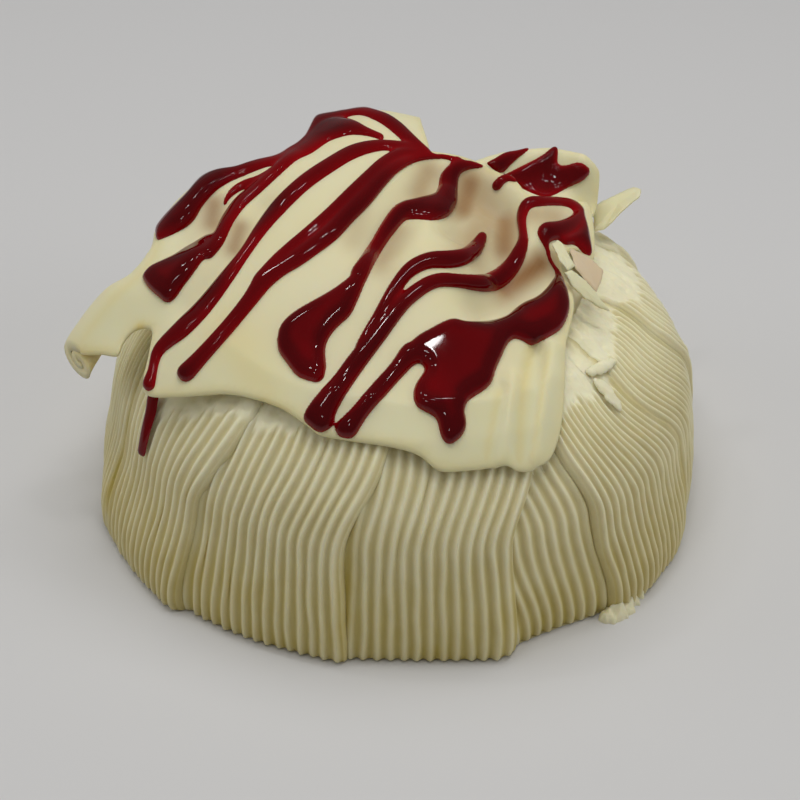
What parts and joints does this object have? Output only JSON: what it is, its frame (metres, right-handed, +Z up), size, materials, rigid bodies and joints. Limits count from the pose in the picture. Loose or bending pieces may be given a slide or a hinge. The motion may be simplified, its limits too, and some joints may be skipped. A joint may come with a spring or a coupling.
{
  "type": "white chocolate raspberry cheesecake",
  "caption": "Whole round cheesecake with a piped cream coat, a ruffled white chocolate sheet on top and a raspberry drizzle.",
  "frame": {"origin": "middle of the cake's flat base", "axes": "+Z up; +Y away from the side that the picture shows, +X to the right of it"},
  "size_m": [0.2176, 0.214, 0.121],
  "materials": {
    "whipped_cream": "piped whipped cream, soft and slightly moist",
    "white_chocolate": "smooth white chocolate with a low sheen",
    "raspberry_sauce": "thick glossy raspberry sauce"
  },
  "bodies": {
    "root": {"cake": "whipped_cream", "ruffled_sheet": "white_chocolate", "back_sheet": "white_chocolate", "trough_sheet": "white_chocolate", "shard_right": "white_chocolate", "chip_upright": "white_chocolate", "chip_folded": "white_chocolate", "strip_long": "white_chocolate"}
  },
  "joints": []
}
